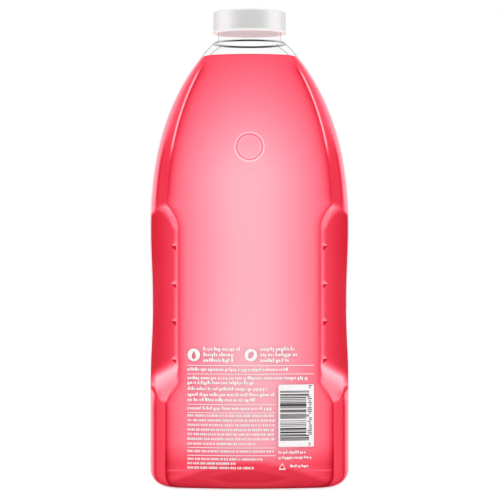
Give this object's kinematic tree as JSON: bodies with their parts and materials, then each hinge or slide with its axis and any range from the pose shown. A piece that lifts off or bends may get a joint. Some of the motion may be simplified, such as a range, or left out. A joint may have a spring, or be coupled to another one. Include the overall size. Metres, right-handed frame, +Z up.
{
  "type": "cleaner refill bottle",
  "caption": "Flat-sided clear blown refill bottle with finger grips in both sides, pink liquid inside, printed back panel and a smooth white screw cap.",
  "frame": {"origin": "centre of the ring that the bottle stands on, on the surface below it", "axes": "+Z up along the bottle's height, +X along its width, and the printed back panel faces -Y"},
  "size_m": [0.1268, 0.0801, 0.3],
  "materials": {
    "bottle_pet": "gloss",
    "cleaner_liquid": "gloss",
    "white_ink": "satin",
    "dark_ink": "satin",
    "cap_plastic": "satin",
    "liner_foam": "matte"
  },
  "bodies": {
    "bottle": {"bottle": "bottle_pet", "cleaner": "cleaner_liquid", "white_print": "white_ink", "bar_print": "dark_ink"},
    "liner": {"cap_liner": "liner_foam"},
    "cap": {"cap": "cap_plastic"}
  },
  "joints": [
    {"name": "cap_rise", "type": "slide", "parent": "bottle", "child": "liner", "axis": [0, 0, 1], "range_m": [0, 0.0054]},
    {"name": "cap_turn", "type": "hinge", "parent": "liner", "child": "cap", "pos_m": [0, 0, 0.29], "axis": [0, 0, 1], "range_deg": [0, 450]}
  ],
  "couplings": [
    {"joint": "cap_rise", "follows": "cap_turn", "m_per_rad": 0.00067323}
  ]
}
